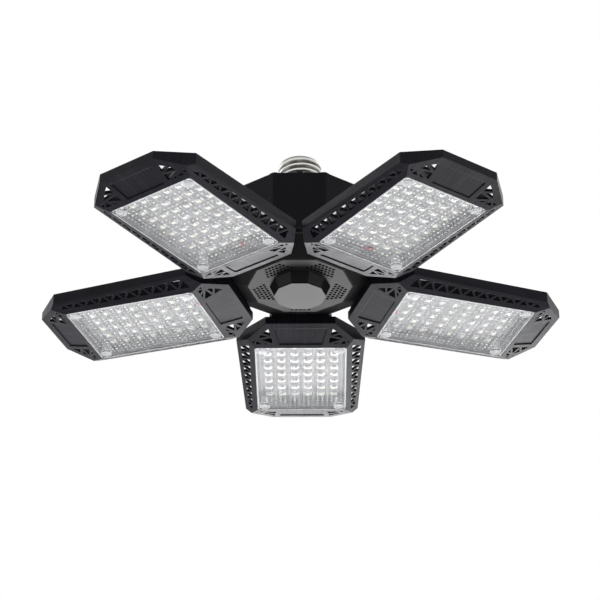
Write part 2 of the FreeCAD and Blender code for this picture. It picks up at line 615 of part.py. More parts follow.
def bottom_cover():
    skirt = loft(decagon(PLATE_FACET), H_PLATE, decagon(SKIRT_FACET), H_SKIRT)
    hollow = loft(decagon(PLATE_FACET), H_PLATE + HUB_WALL, decagon(SKIRT_FACET), H_SKIRT + HUB_WALL)
    stands = [post(STANDOFF_AT * cos(a), STANDOFF_AT * sin(a), STANDOFF_R, H_PLATE + HUB_WALL / 2, H_BOARD)
              for a in standoff_angles()]
    boss = post(HUB_SCREW_R, 0, BOSS_R, HUB_SCREW_SEAT, H_SKIRT)
    whole = union([skirt.cut(hollow)] + stands + [turned(boss, a) for a in azimuths()])
    cutters = [prism(decagon(SPIGOT_FACET + FIT), H_PLATE - OVER, H_PLATE + HUB_WALL + OVER)]
    for azimuth in azimuths():
        cutters.append(turned(vent_group(), azimuth))
        cutters.append(turned(post(HUB_SCREW_R, 0, BIG_SHANK_R + SCREW_PLAY, 0, H_SKIRT + OVER), azimuth))
        cutters.append(turned(post(HUB_SCREW_R, 0, BIG_HEAD_R + SCREW_PLAY, 0, HUB_SCREW_SEAT), azimuth))
    pilot = SMALL_SHANK_R + SCREW_PLAY
    cutters += [post(STANDOFF_AT * cos(a), STANDOFF_AT * sin(a), pilot,
                     H_BOARD - STANDOFF_PILOT, H_BOARD + OVER) for a in standoff_angles()]
    return whole.cut(cutters)


def standoff_angles():
    return [radians(a) for a in azimuths(SECTOR / 2)][::2]


def centre_cap():
    body = loft(decagon(CAP_FACE_FACET), H_CAP, decagon(CAP_FACET), H_PLATE)
    lip = prism(decagon(CAP_FACE_FACET + CAP_LIP_PROUD), H_CAP, H_CAP + CAP_LIP)
    spigot = prism(decagon(SPIGOT_FACET), H_PLATE - OVER, H_PLATE + SPIGOT_LENGTH)
    hollow = prism(decagon(SPIGOT_FACET - CAP_WALL), H_CAP + CAP_WALL, H_PLATE + SPIGOT_LENGTH + OVER)
    return union([body, lip, spigot]).cut(hollow)


def driver_housing():
    body = prism(decagon(HUB_FACET), H_RING, H_TOP)
    body = body.makeFillet(EDGE_R, upright_edges(body))
    body = body.cut(prism(decagon(HUB_FACET - HUB_WALL), H_RING - OVER, H_TOP - HUB_WALL))
    boss = post(HUB_SCREW_R, 0, BOSS_R, H_RING, BOSS_TOP)
    whole = union([body] + [turned(boss, a) for a in azimuths()])
    field_half = HUB_FACET * tan(pi / (2 * PANELS)) - STRIP_WIDTH
    field = block(HUB_FACET - FACET_SINK, HUB_FACET + OVER, -field_half, field_half,
                  H_RING - OVER, H_TOP + OVER)
    pilot = post(HUB_SCREW_R, 0, BIG_SHANK_R + SCREW_PLAY, H_RING - OVER, HUB_SCREW_TIP + PILOT_SPARE)
    cutters = [post(0, 0, COLLAR_BORE_R, H_TOP - HUB_WALL - OVER, H_TOP + OVER)]
    cutters += [turned(field, a) for a in azimuths() + azimuths(SECTOR / 2)]
    cutters += [turned(pilot, a) for a in azimuths()]
    for k in range(SLOTS_PER_SIDE):
        r = HUB_FACET - SLOT_IN + (k - (SLOTS_PER_SIDE - 1) / 2) * SLOT_PITCH
        slot = block(r - SLOT_WIDTH / 2, r + SLOT_WIDTH / 2, -SLOT_LENGTH / 2, SLOT_LENGTH / 2,
                     H_TOP - HUB_WALL - OVER, H_TOP + OVER)
        cutters += [turned(slot, a) for a in azimuths(SECTOR / 2)]
    return whole.cut(cutters)


def cover_screws():
    one = screw(HUB_SCREW_R, 0, HUB_SCREW_SEAT, BIG_SHANK_R, HUB_SCREW_TIP - HUB_SCREW_SEAT, BIG_HEAD_R,
                BIG_HEAD, -1)
    return Part.makeCompound([turned(one, a) for a in azimuths()])


# ---- screw base ----------------------------------------------------------------------------------------
def base_collar():
    foot = H_THREAD - SHELL_FOOT
    bore = SHELL_NECK_R + FIT
    body = revolve([(COLLAR_BORE_R, H_TOP), (COLLAR_FOOT_R, H_TOP), (COLLAR_FOOT_R, H_TOP + COLLAR_FLANGE),
                    (TOOTH_R, H_COLLAR), (bore, H_COLLAR), (bore, foot), (COLLAR_BORE_R, foot)])
    crown = revolve([(bore, foot), (TOOTH_R, foot), (TOOTH_R, H_THREAD), (bore, H_THREAD)])
    bar = block(0, TOOTH_R + OVER, -TOOTH_WIDTH / 2, TOOTH_WIDTH / 2, H_COLLAR - OVER, H_THREAD)
    bars = [turned(bar, FIRST_AZIMUTH + 360.0 / TEETH * k) for k in range(TEETH)]
    return union([body] + [crown.common(b) for b in bars])


def screw_shell():
    foot = H_THREAD - SHELL_FOOT
    top = H_THREAD + SHELL_LENGTH
    inner = SHELL_NECK_R - SHELL_WALL
    return revolve([(inner, foot), (SHELL_NECK_R, foot), (SHELL_NECK_R, H_THREAD), (SHELL_R, H_THREAD),
                    (SHELL_R, top), (INSULATOR_R + SHELL_WALL, top + SHELL_CONE),
                    (INSULATOR_HOLE_R, top + SHELL_CONE), (INSULATOR_HOLE_R, top + SHELL_CONE - SHELL_WALL),
                    (INSULATOR_R, top + SHELL_CONE - SHELL_WALL), (inner, top - SHELL_WALL)])


def base_insulator():
    seat = H_THREAD + SHELL_LENGTH + SHELL_CONE
    stem = INSULATOR_HOLE_R - FIT
    bore = RIVET_R + FIT
    low, high = seat - INSULATOR_STEM, seat + INSULATOR_HEIGHT
    return revolve([(bore, low), (stem, low), (stem, seat),
                    (INSULATOR_R, seat), (INSULATOR_R, seat + INSULATOR_RIM),
                    (CONTACT_R + SHELL_WALL, high), (bore, high)])


def centre_contact():
    seat = H_THREAD + SHELL_LENGTH + SHELL_CONE + INSULATOR_HEIGHT
    shoulder_r, shoulder = CONTACT_R * CONTACT_SHOULDER[0], CONTACT_HEIGHT * CONTACT_SHOULDER[1]
    return revolve([(0, seat - RIVET_LENGTH), (RIVET_R, seat - RIVET_LENGTH), (RIVET_R, seat),
                    (CONTACT_R, seat), (shoulder_r, seat + shoulder),
                    (CONTACT_R * CONTACT_FACE, seat + CONTACT_HEIGHT), (0, seat + CONTACT_HEIGHT)])


# ---- driver --------------------------------------------------------------------------------------------
def driver_board():
    board = post(0, 0, DRIVER_R, H_BOARD, H_BOARD + DRIVER_BOARD)
    holes = [post(STANDOFF_AT * cos(a), STANDOFF_AT * sin(a), SMALL_SHANK_R + SCREW_PLAY, 0, H_TOP)
             for a in standoff_angles()]
    return board.cut(holes)


def board_screws():
    screws = [screw(STANDOFF_AT * cos(a), STANDOFF_AT * sin(a), BOARD_TOP, SMALL_SHANK_R,
                    DRIVER_BOARD + DRIVER_SCREW, SMALL_HEAD_R, SMALL_HEAD) for a in standoff_angles()]
    return Part.makeCompound(screws)


def transformer():
    x0, x1, y0, y1, height = CORE
    top = BOARD_TOP + height
    window = (x0 + CORE_LEG, x1 - CORE_LEG, BOARD_TOP + CORE_LEG, top - CORE_LEG)
    core = block(x0, x1, y0, y1, BOARD_TOP, top)
    winding = block(window[0], window[1], y0 - COIL_PROUD, y1 + COIL_PROUD, window[2], window[3])
    return union([core, winding])


def capacitors():
    return Part.makeCompound([post(x, y, r, BOARD_TOP, BOARD_TOP + height)
                              for x, y, r, height in CAPACITORS])


def output_sockets():
    """One two-pole socket for each panel's leads, near the edge of the driver board."""
    r0, r1, half = SOCKET_R - SOCKET_LENGTH / 2, SOCKET_R + SOCKET_LENGTH / 2, SOCKET_WIDTH / 2
    body = block(r0, r1, -half, half, BOARD_TOP, BOARD_TOP + SOCKET_HEIGHT)
    pocket = block(r0 + SOCKET_BACK, r1 + OVER, SOCKET_WALL - half, half - SOCKET_WALL,
                   BOARD_TOP + SOCKET_WALL, BOARD_TOP + SOCKET_HEIGHT - SOCKET_WALL)
    socket = body.cut(pocket)
    return Part.makeCompound([turned(socket, a + SOCKET_TURN) for a in azimuths()])


def input_leads():
    """Two leads from the driver board: one to the centre contact, one to the screw shell."""
    turn = BOARD_TOP + LEAD_RISE
    rivet = H_THREAD + SHELL_LENGTH + SHELL_CONE + INSULATOR_HEIGHT - RIVET_LENGTH
    neck = H_THREAD - SHELL_FOOT / 2
    live = [(0, 0, rivet), (0, 0, turn), LIVE_AT + (turn - LIVE_FALL,), LIVE_AT + (BOARD_TOP,)]
    reach = sqrt((SHELL_NECK_R - SHELL_WALL) ** 2 - (abs(NEUTRAL_AT[1]) + LEAD_R) ** 2)
    neutral = [(reach, NEUTRAL_AT[1], neck), NEUTRAL_AT + (neck,), NEUTRAL_AT + (BOARD_TOP,)]
    return Part.makeCompound([tube(live, LEAD_R, LEAD_BEND), tube(neutral, LEAD_R, LEAD_BEND)])


# ---- output --------------------------------------------------------------------------------------------
def save(name, shape):
    shape.translate(V(0, 0, -H_THREAD))
    for solid in shape.Solids:
        if not (solid.isValid() and solid.isClosed()):
            raise ValueError(name + " is not a closed valid solid")
    shape.exportStep("parts/" + name + ".step")
    print("%-18s %3d solids %10.1f mm3" % (name, len(shape.Solids), shape.Volume))


os.makedirs("parts", exist_ok=True)

HUB = {
    "screw_shell": screw_shell, "base_insulator": base_insulator, "centre_contact": centre_contact,
    "base_collar": base_collar, "driver_housing": driver_housing, "hinge_ring": hinge_ring,
    "bottom_cover": bottom_cover, "centre_cap": centre_cap, "cover_screws": cover_screws,
    "hinge_pins": hinge_pins, "driver_board": driver_board, "board_screws": board_screws,
    "transformer": transformer, "capacitors": capacitors, "output_sockets": output_sockets,
    "input_leads": input_leads,
}
PANEL = {
    "frame": frame, "lens": lens, "led_board": led_board, "leds": leds, "heat_sink": heat_sink,
    "panel_screws": panel_screws, "led_leads": led_leads, "hinge_arm": hinge_arm,
}
for node, make in HUB.items():
    save(node, make())
for node, make in PANEL.items():
    piece = make()
    for number, azimuth in enumerate(azimuths(), start=1):
        save("%s_%d" % (node, number), turned(piece, azimuth))
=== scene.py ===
"""Looks of the deformable garage light, in metres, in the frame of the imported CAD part.

The origin is on the lamp's axis at the foot of the bare thread, and +Z runs along the screw base. The
panels lie below. A panel's own frame has its radius along X, its width along Y and its height from the
plane of the lens faces, in millimetres, and panel_matrix() takes that to the lamp's frame.
"""
import json
import math

import bmesh
import bpy
from mathutils import Matrix, Vector


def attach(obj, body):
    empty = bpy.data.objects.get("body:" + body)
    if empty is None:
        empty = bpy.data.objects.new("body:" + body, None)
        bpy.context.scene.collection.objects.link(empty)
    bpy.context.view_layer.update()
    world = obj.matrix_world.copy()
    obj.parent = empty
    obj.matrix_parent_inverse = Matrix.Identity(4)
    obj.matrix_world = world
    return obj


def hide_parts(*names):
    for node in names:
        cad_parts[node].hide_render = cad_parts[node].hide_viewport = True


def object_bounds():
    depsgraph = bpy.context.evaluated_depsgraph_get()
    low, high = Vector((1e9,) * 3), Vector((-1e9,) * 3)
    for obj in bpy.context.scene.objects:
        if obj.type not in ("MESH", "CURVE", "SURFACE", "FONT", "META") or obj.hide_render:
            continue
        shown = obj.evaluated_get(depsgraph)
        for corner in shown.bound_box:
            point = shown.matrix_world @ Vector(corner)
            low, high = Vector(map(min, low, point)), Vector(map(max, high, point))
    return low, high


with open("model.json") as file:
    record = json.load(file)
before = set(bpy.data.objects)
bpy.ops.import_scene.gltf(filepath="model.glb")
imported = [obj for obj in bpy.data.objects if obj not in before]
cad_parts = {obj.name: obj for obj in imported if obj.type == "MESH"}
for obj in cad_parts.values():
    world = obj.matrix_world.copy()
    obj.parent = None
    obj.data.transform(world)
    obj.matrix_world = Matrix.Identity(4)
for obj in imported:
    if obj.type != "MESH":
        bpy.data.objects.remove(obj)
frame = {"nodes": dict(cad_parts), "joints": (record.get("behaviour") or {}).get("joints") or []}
cad_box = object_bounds()
nodes = frame["nodes"]

MM = 0.001
PANELS = 5

# ---- sizes shared with the CAD part, in millimetres ------------------------------------------------------
LENS_R0, LENS_LENGTH, LENS_HALF = 55.9, 79.1, 27.75
LENS_FACE, LENS_DEPTH = 1.5, 6.5
POST_INSET, POST_R = 4.6, 3.0
CAP_HEIGHT, PLATE_HEIGHT = 2.4, 9.1
SINK_TOP, PANEL_BACK, ARM_BASE = 9.2, 10.2, 1.5
LED_ROWS, LED_COLUMNS = 8, 6
LED_PITCH_ROW, LED_PITCH_COLUMN = 8.4, 8.1
LED_LENGTH, LED_WIDTH, LED_HEIGHT = 2.8, 3.5, 0.8
ARM_SCREW_R, ARM_SCREW_HALF = 41.5, 13.5
HUB_SCREW_R, HUB_SCREW_SEAT = 41.0, 15.0
SHELL_R, SHELL_NECK_R, SHELL_LENGTH, SHELL_FOOT = 13.1, 12.75, 11.0, 10.0
SHELL_WALL, SHELL_CONE = 0.4, 2.5
INSULATOR_R, INSULATOR_HOLE_R = 9.3, 8.3

# ---- sizes of what only this script adds, in millimetres -------------------------------------------------
STUD_PITCH, STUD_R, STUD_TIP_R, STUD_HEIGHT, STUD_SIDES = 2.9, 0.75, 0.58, 0.35, 7
STUD_SUNK = 0.05                    # how far a dome's foot lies inside the lens
STUD_MARGIN = 1.0                   # kept free along the edges of the lens
CHIP_SPREAD = 2.3                   # how far the painted image of an LED spreads over the domes
CHIP_DRAW_IN = 0.35                 # of an LED's sides, from its foot to its top
CHIP_WINDOW = (0.9, 1.2)            # half sizes of its window, of the solder pads and of the white patch of painted LED image
SOLDER_PAD = (1.1, 0.3)
PAINTED_LED_HALO = (1.75, 2.25)
BEVEL = 0.1                         # of those three, all round
CLEAR_OF_BOARD = 0.01               # keeps two faces from lying in one plane
PANEL_SCREW = (2.4, 1.4, 1.25, 5.6)     # radius and height of the head, radius and length of the shank
COVER_SCREW = (2.7, 1.3, 1.5, 10.5)
THREAD_PITCH, THREAD_DEPTH, THREAD_SIDES, THREAD_STEP = 3.63, 0.95, 96, 0.2
THREAD_START, THREAD_END = 0.8, 1.2     # heights over which the thread fades in and out
THREAD_MEAN = 0.45                  # share of its depth where it has faded out
NECK_TOP = 0.4                      # of the plain neck, below the thread

CORNERS = ((-1, -1), (1, -1), (1, 1), (-1, 1))
LENS_MIDDLE = LENS_R0 + LENS_LENGTH / 2
POST_X, POST_Y = LENS_LENGTH / 2 - POST_INSET, LENS_HALF - POST_INSET

MOULDED_EDGE, METAL_EDGE = 0.35 * MM, 0.2 * MM      # rounding of the edges, for the shading alone

LENS_PLANE = cad_box[0].z
azimuths = [math.atan2(j["pos_m"][1], j["pos_m"][0]) for j in frame["joints"]]


def panel_matrix(n):
    """From the frame of panel n, in millimetres, to the lamp's frame."""
    place = Matrix.Rotation(azimuths[n - 1], 4, "Z") @ Matrix.Translation((0, 0, LENS_PLANE))
    return place @ Matrix.Scale(MM, 4)


# ---- materials -------------------------------------------------------------------------------------------
class Nodes:
    """A material under construction: short calls that add and link its nodes."""

    def __init__(self, name, turn=0.0):
        self.material = bpy.data.materials.new(name)
        self.material.use_nodes = True
        self.tree = self.material.node_tree
        self.tree.nodes.clear()
        self.output = self.add("ShaderNodeOutputMaterial")
        place = self.add("ShaderNodeTexCoord").outputs["Object"]
        if turn:
            place = self.add("ShaderNodeVectorRotate", {"Vector": place, "Angle": -turn},
                             rotation_type="Z_AXIS").outputs["Vector"]
        self.place = place

    def add(self, kind, inputs=None, **settings):
        node = self.tree.nodes.new(kind)
        for key, value in settings.items():
            setattr(node, key, value)
        for key, value in (inputs or {}).items():
            self.feed(node.inputs[key], value)
        return node

    def feed(self, socket, value):
        if isinstance(value, bpy.types.NodeSocket):
            self.tree.links.new(value, socket)
        else:
            socket.default_value = value

    def math(self, operation, a, b=0.0):
        return self.add("ShaderNodeMath", {0: a, 1: b}, operation=operation).outputs[0]

    def span(self, value, low, high, start=0.0, end=1.0):
        """value from low..high to start..end, clamped."""
        sizes = {"Value": value, "From Min": low, "From Max": high, "To Min": start, "To Max": end}
        return self.add("ShaderNodeMapRange", sizes).outputs[0]

    def mix(self, share, a, b):
        node = self.add("ShaderNodeMix", {0: share, 6: a, 7: b}, data_type="RGBA")
        return node.outputs[2]

    def noise(self, scale, detail=2.0, stretch=(1, 1, 1)):
        """Noise with this many features to the metre, drawn out along an axis where stretch is small."""
        place = self.place
        if stretch != (1, 1, 1):
            place = self.add("ShaderNodeVectorMath", {0: place, 1: stretch},
                             operation="MULTIPLY").outputs[0]
        sizes = {"Vector": place, "Scale": scale, "Detail": detail}
        return self.add("ShaderNodeTexNoise", sizes).outputs["Fac"]

    def axes(self):
        node = self.add("ShaderNodeSeparateXYZ", {0: self.place})
        return node.outputs[0], node.outputs[1], node.outputs[2]

    def rounded(self, radius):
        return self.add("ShaderNodeBevel", {"Radius": radius}, samples=4).outputs[0]

    def bump(self, height, strength, distance, normal=None):
        sizes = {"Height": height, "Strength": strength, "Distance": distance}
        if normal is not None:
            sizes["Normal"] = normal
        return self.add("ShaderNodeBump", sizes).outputs[0]

    def principled(self, tone, gloss, normal, level=0.5, metallic=0.0):
        """The shader of a surface; level is its share of gloss, 0.5 for ordinary plastic."""
        inputs = {"Base Color": tone, "Roughness": gloss, "Normal": normal, "Specular IOR Level": level,
                  "Metallic": metallic}
        return self.add("ShaderNodeBsdfPrincipled", inputs).outputs[0]

    def finish(self, shader):
        self.tree.links.new(shader, self.output.inputs["Surface"])
        return self.material


def shade(color, share):
    return (color[0] * share, color[1] * share, color[2] * share, 1.0)


def moulded(t, grain=0.25):
    """A slow drift of tone from 0 to 1, and the normal of a finely grained skin with rounded edges."""
    drift = t.span(t.noise(70.0, 4.0), 0.3, 0.7)
    skin = t.noise(2600.0, 2.0)
    return drift, t.bump(skin, grain, 0.06 * MM, t.rounded(MOULDED_EDGE))


def plastic(name, color, roughness, level, grain=0.25, turn=0.0, streaks=0.0):
    """Moulded plastic: a fine grain, a slow drift of tone, and streaks along a panel's length."""
    t = Nodes(name, turn)
    drift, normal = moulded(t, grain)
    tone = t.mix(drift, shade(color, 0.85), shade(color, 1.2))
    gloss = t.span(drift, 0.0, 1.0, roughness - 0.04, roughness + 0.06)
    if streaks:
        lines = t.span(t.noise(1100.0, 3.0, (0.035, 1.0, 0.2)), 0.42, 0.72)
        bands = t.span(t.noise(260.0, 1.0, (0.05, 1.0, 0.3)), 0.35, 0.65)
        amount = t.math("MULTIPLY", t.math("ADD", lines, t.math("MULTIPLY", bands, 0.6)), streaks)
        tone = t.mix(amount, tone, shade(color, 3.2))
        gloss = t.math("SUBTRACT", gloss, t.math("MULTIPLY", amount, 0.12))
    return t.finish(t.principled(tone, gloss, normal, level))


def above(t, height):
    """0 up to this height over the lens faces, in millimetres, and 1 from half a millimetre higher."""
    z = t.axes()[2]
    return t.span(z, LENS_PLANE + (height + 0.1) * MM, LENS_PLANE + (height + 0.5) * MM)


def cover_plastic():
    """Black plastic, satin on the flat underside and matt on the sloped skirt, which is darkened by painted
    shade.
    """
    t = Nodes("cover_black")
    skirt = above(t, PLATE_HEIGHT)
    drift, normal = moulded(t)
    plate = t.mix(drift, (0.009, 0.009, 0.010, 1), (0.012, 0.012, 0.014, 1))
    # painted shade: the sloped skirt gets a darker tone than the plate
    tone = t.mix(skirt, plate, (0.006, 0.006, 0.007, 1))
    gloss = t.math("ADD", t.span(drift, 0.0, 1.0, 0.31, 0.37), t.math("MULTIPLY", skirt, 0.45))
    return t.finish(t.principled(tone, gloss, normal, 0.09))


def cap_plastic():
    """Black plastic: a satin face, and walls lightened by a painted reflection where they face a panel and
    darkened by painted shade where they face a gap.
    """
    t = Nodes("cap_black")
    x, y, z = t.axes()
    sector = 2 * math.pi / PANELS
    turns = t.math("DIVIDE", t.math("ARCTAN2", y, x), sector)
    apart = t.math("PINGPONG", t.math("SUBTRACT", turns, azimuths[0] / sector - PANELS), 0.5)
    facing = t.span(apart, 0.26, 0.24)
    wall = above(t, CAP_HEIGHT + 0.1)
    drift, normal = moulded(t)
    face = t.mix(drift, (0.014, 0.014, 0.016, 1), (0.019, 0.019, 0.021, 1))
    # painted light: walls that face a panel get a lighter tone as a painted reflection, walls that face a gap
    # a darker tone as painted shade
    side = t.mix(facing, (0.004, 0.004, 0.005, 1), (0.045, 0.045, 0.048, 1))
    tone = t.mix(wall, face, side)
    gloss = t.math("ADD", t.span(drift, 0.0, 1.0, 0.30, 0.36), t.math("MULTIPLY", wall, 0.2))
    return t.finish(t.principled(tone, gloss, normal, 0.16))


def metal(name, color, roughness, brushed=(1, 1, 1), turn=0.0, bump=0.15):
    """Metal with fine scratches; brushed is how they are drawn out along the axes."""
    t = Nodes(name, turn)
    drift = t.noise(90.0, 4.0)
    lines = t.noise(1500.0, 3.0, brushed)
    tone = t.mix(t.span(drift, 0.3, 0.7), shade(color, 0.88), shade(color, 1.06))
    tone = t.mix(t.span(lines, 0.45, 0.75, 0.0, 0.35), tone, shade(color, 0.7))
    gloss = t.span(lines, 0.3, 0.7, roughness - 0.05, roughness + 0.09)
    normal = t.bump(lines, bump, 0.05 * MM, t.rounded(METAL_EDGE))
    return t.finish(t.principled(tone, gloss, normal, metallic=1.0))


def thread_metal():
    """Nickel plate, with painted shade in the roots of the thread."""
    t = Nodes("nickel_thread")
    x, y, z = t.axes()
    radius = t.math("SQRT", t.math("ADD", t.math("MULTIPLY", x, x), t.math("MULTIPLY", y, y)))
    drift = t.noise(160.0, 5.0)
    marks = t.noise(2400.0, 3.0, (1, 1, 0.25))
    crest = t.span(radius, 12.3 * MM, 13.05 * MM)
    # painted shade: the tone darkens from the crests down into the roots of the thread
    tone = t.mix(crest, (0.07, 0.067, 0.062, 1), (0.78, 0.765, 0.74, 1))
    tone = t.mix(t.span(drift, 0.45, 0.75, 0.0, 0.3), tone, (0.60, 0.58, 0.55, 1))
    gloss = t.span(marks, 0.3, 0.7, 0.14, 0.26)
    return t.finish(t.principled(tone, gloss, t.bump(marks, 0.1, 0.04 * MM), metallic=1.0))


def see_through(t, haze, tone, roughness, normal):
    """A veil of this much haze over what lies behind."""
    veil = t.principled(tone, roughness, normal)
    clear = t.add("ShaderNodeBsdfTransparent", {"Color": (1, 1, 1, 1)})
    return t.add("ShaderNodeMixShader", {0: haze, 1: clear.outputs[0], 2: veil}).outputs[0]


def lens_plastic(turn):
    """Clear plastic with a haze that thickens on the posts and at the edges."""
    face_haze, edge_haze, post_face, post_shaft = 0.08, 0.32, 0.26, 1.0
    rim = (1.3, 0.9)
    t = Nodes("clear_lens_%03d" % round(math.degrees(turn)), turn)
    x, y, z = t.axes()
    along = t.math("ABSOLUTE", t.math("SUBTRACT", x, LENS_MIDDLE * MM))
    across = t.math("ABSOLUTE", y)
    near_end = t.span(along, (LENS_LENGTH / 2 - rim[0]) * MM, (LENS_LENGTH / 2 - rim[1]) * MM)
    near_side = t.span(across, (LENS_HALF - rim[0]) * MM, (LENS_HALF - rim[1]) * MM)
    edges = t.math("MAXIMUM", near_end, near_side)
    dx = t.math("SUBTRACT", along, POST_X * MM)
    dy = t.math("SUBTRACT", across, POST_Y * MM)
    apart = t.math("SQRT", t.math("ADD", t.math("MULTIPLY", dx, dx), t.math("MULTIPLY", dy, dy)))
    posts = t.span(apart, (POST_R + 0.5) * MM, (POST_R + 0.1) * MM)
    deep = t.span(z, LENS_PLANE + (LENS_FACE + 0.1) * MM, LENS_PLANE + (LENS_FACE - 0.1) * MM,
                  post_shaft, post_face)
    haze = t.math("MAXIMUM", t.math("MULTIPLY", edges, edge_haze), t.math("MULTIPLY", posts, deep))
    cloud = t.span(t.noise(160.0, 3.0), 0.3, 0.7, -0.03, 0.04)
    haze = t.math("ADD", t.math("ADD", haze, cloud), face_haze)
    ripple = t.bump(t.noise(900.0, 2.0), 0.08, 0.05 * MM)
    return t.finish(see_through(t, haze, (0.88, 0.89, 0.92, 1), 0.22, ripple))


def stud_plastic(name, haze):
    """The small domes behind the lens face; a high haze paints the glints of their tips as white dots."""
    t = Nodes(name)
    cloud = t.noise(1900.0, 2.0)
    share = t.span(cloud, 0.3, 0.7, haze - 0.12, haze + 0.12)
    return t.finish(see_through(t, share, (0.95, 0.96, 0.98, 1), 0.18, t.bump(cloud, 0.1, 0.04 * MM)))


def frosted(name, color, roughness=0.5):
    """A white or tinted surface with a faint cloud in its tone and gloss."""
    t = Nodes(name)
    cloud = t.noise(1800.0, 3.0)
    tone = t.mix(t.span(cloud, 0.3, 0.7), shade(color, 0.93), shade(color, 1.04))
    gloss = t.span(cloud, 0.3, 0.7, roughness - 0.06, roughness + 0.06)
    return t.finish(t.principled(tone, gloss, t.bump(cloud, 0.15, 0.05 * MM)))


def two_leads(n, turn):
    """Soft insulation: the lead on one side of a panel's middle is red, and the other white."""
    t = Nodes("lead_pair_%d" % n, turn)
    y = t.axes()[1]
    cloud = t.noise(500.0, 3.0)
    red = t.mix(t.span(cloud, 0.3, 0.7), (0.62, 0.025, 0.035, 1), (0.76, 0.05, 0.06, 1))
    white = t.mix(t.span(cloud, 0.3, 0.7), (0.66, 0.66, 0.64, 1), (0.80, 0.80, 0.78, 1))
    tone = t.mix(t.math("GREATER_THAN", y, 0.0), white, red)
    gloss = t.span(cloud, 0.3, 0.7, 0.36, 0.48)
    return t.finish(t.principled(tone, gloss, t.bump(cloud, 0.1, 0.04 * MM)))


def board_finish(turn):
    """Silver-grey solder mask with the strings of the LEDs showing faintly through it."""
    t = Nodes("led_board_%03d" % round(math.degrees(turn)), turn)
    y = t.axes()[1]
    half_pitch = LED_PITCH_COLUMN * MM / 2
    column = t.math("PINGPONG", t.math("ADD", y, half_pitch), half_pitch)
    tracks = t.span(column, 0.9 * MM, 1.1 * MM, 1.0, 0.0)
    speckle = t.span(t.noise(1300.0, 3.0), 0.35, 0.7)
    cloud = t.noise(150.0, 3.0)
    tone = t.mix(speckle, (0.25, 0.254, 0.265, 1), (0.37, 0.375, 0.39, 1))
    tone = t.mix(t.span(cloud, 0.35, 0.65, 0.0, 0.5), tone, (0.31, 0.315, 0.33, 1))
    tone = t.mix(t.math("MULTIPLY", tracks, 0.3), tone, (0.22, 0.225, 0.24, 1))
    gloss = t.span(cloud, 0.3, 0.7, 0.32, 0.46)
    relief = t.math("ADD", t.math("MULTIPLY", tracks, 0.6), t.math("MULTIPLY", speckle, 0.4))
    return t.finish(t.principled(tone, gloss, t.bump(relief, 0.25, 0.05 * MM), 0.15))


lattice = [plastic("lattice_%d" % (n + 1), (0.0098, 0.0096, 0.0138), 0.40, 0.10, turn=a, streaks=0.4)
           for n, a in enumerate(azimuths)]
housing = plastic("housing_black", (0.0070, 0.0068, 0.0102), 0.42, 0.08)
cover = cover_plastic()
cap = cap_plastic()
collar = plastic("collar_black", (0.008, 0.008, 0.009), 0.34, 0.15, grain=0.12)
arm_coat = plastic("arm_black", (0.012, 0.012, 0.013), 0.5, 0.2, grain=0.5)
lead_pair = [two_leads(n + 1, a) for n, a in enumerate(azimuths)]
insulator = plastic("insulator_black", (0.012, 0.012, 0.013), 0.14, 0.5, grain=0.05)
steel = metal("zinc_steel", (0.55, 0.55, 0.56), 0.34)
tin = metal("tinned_contact", (0.80, 0.79, 0.77), 0.30, bump=0.3)
sink = [metal("sink_aluminium_%d" % (n + 1), (0.60, 0.61, 0.63), 0.38, brushed=(0.04, 1.0, 0.3), turn=a)
        for n, a in enumerate(azimuths)]
driver_green = plastic("driver_board_green", (0.03, 0.12, 0.05), 0.4, 0.5, grain=0.1)
core_dark = plastic("transformer_dark", (0.07, 0.065, 0.06), 0.6, 0.3, grain=0.6)
sleeve = plastic("capacitor_sleeve", (0.03, 0.035, 0.06), 0.3, 0.5, grain=0.05)
socket_white = plastic("socket_white", (0.76, 0.75, 0.71), 0.45, 0.5, grain=0.1)
lead_white = plastic("lead_white", (0.75, 0.75, 0.73), 0.42, 0.5, grain=0.1)
chip_white = frosted("chip_white", (0.95, 0.95, 0.94), 0.30)
chip_window = frosted("chip_window", (0.96, 0.94, 0.74), 0.24)
# painted light: white for the patch round each LED that stands for its image spread by the lens
painted_led_halo = frosted("painted_led_halo", (0.74, 0.74, 0.73), 0.5)
solder = metal("solder_pad", (0.74, 0.74, 0.75), 0.3)
nickel = thread_metal()
stud_flank = stud_plastic("lens_stud_flank", 0.08)
# painted highlight: the tips of the domes are hazier, so that they show as white glints
stud_painted_glint = stud_plastic("lens_stud_tip", 0.40)
# painted light: a near-white finish for the tips that show the painted image of an LED
stud_painted_led_image = frosted("lens_stud_lit", (0.96, 0.96, 0.91), 0.22)

PLAIN = {"base_insulator": insulator, "centre_contact": tin, "base_collar": collar,
         "driver_housing": housing, "hinge_ring": housing, "bottom_cover": cover, "centre_cap": cap,
         "hinge_pins": steel, "driver_board": driver_green, "board_screws": steel,
         "transformer": core_dark, "capacitors": sleeve, "output_sockets": socket_white,
         "input_leads": lead_white}


def dress(node, material):
    for place in nodes[node].material_slots:
        place.material = material


for node, material in PLAIN.items():
    dress(node, material)
for n, a in enumerate(azimuths, start=1):
    dress("frame_%d" % n, lattice[n - 1])
    dress("lens_%d" % n, lens_plastic(a))
    dress("led_board_%d" % n, board_finish(a))
    dress("heat_sink_%d" % n, sink[n - 1])
    dress("led_leads_%d" % n, lead_pair[n - 1])
    dress("hinge_arm_%d" % n, arm_coat)


# ---- pieces ----------------------------------------------------------------------------------------------
def piece(name, mesh, materials, body, stands_for=()):
    thing = bpy.data.objects.new(name, mesh)
    bpy.context.scene.collection.objects.link(thing)
    for material in materials:
        mesh.materials.append(material)
    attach(thing, body)
    for node in stands_for:
        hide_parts(node)
    return thing


